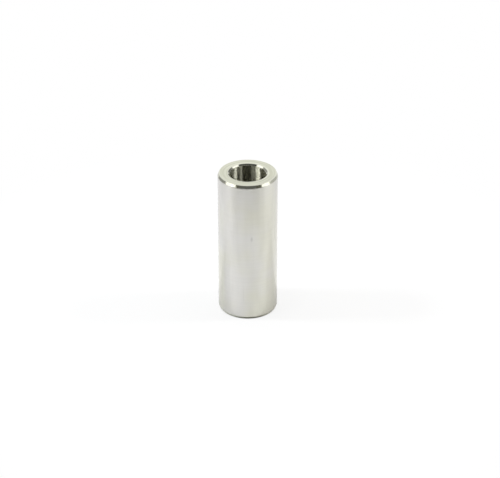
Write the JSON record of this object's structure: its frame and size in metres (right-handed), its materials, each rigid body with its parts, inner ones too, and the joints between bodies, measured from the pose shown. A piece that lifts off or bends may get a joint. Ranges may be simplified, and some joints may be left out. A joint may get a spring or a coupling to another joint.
{
  "type": "piston pin",
  "caption": "Hollow steel pin with a ground outside, a tapered lead-in at each end and a straight through bore, joining a piston to the small end of its connecting rod.",
  "frame": {"origin": "middle of the lower end face, on the pin's axis", "axes": "+Z along the pin's axis, from the lower end face up to the other one; the pin is the same all round and the same from both ends"},
  "size_m": [0.021, 0.021, 0.053],
  "materials": {
    "steel": "ground outside, turned ends, bored inside"
  },
  "bodies": {
    "root": {"piston_pin": "steel"}
  },
  "joints": []
}
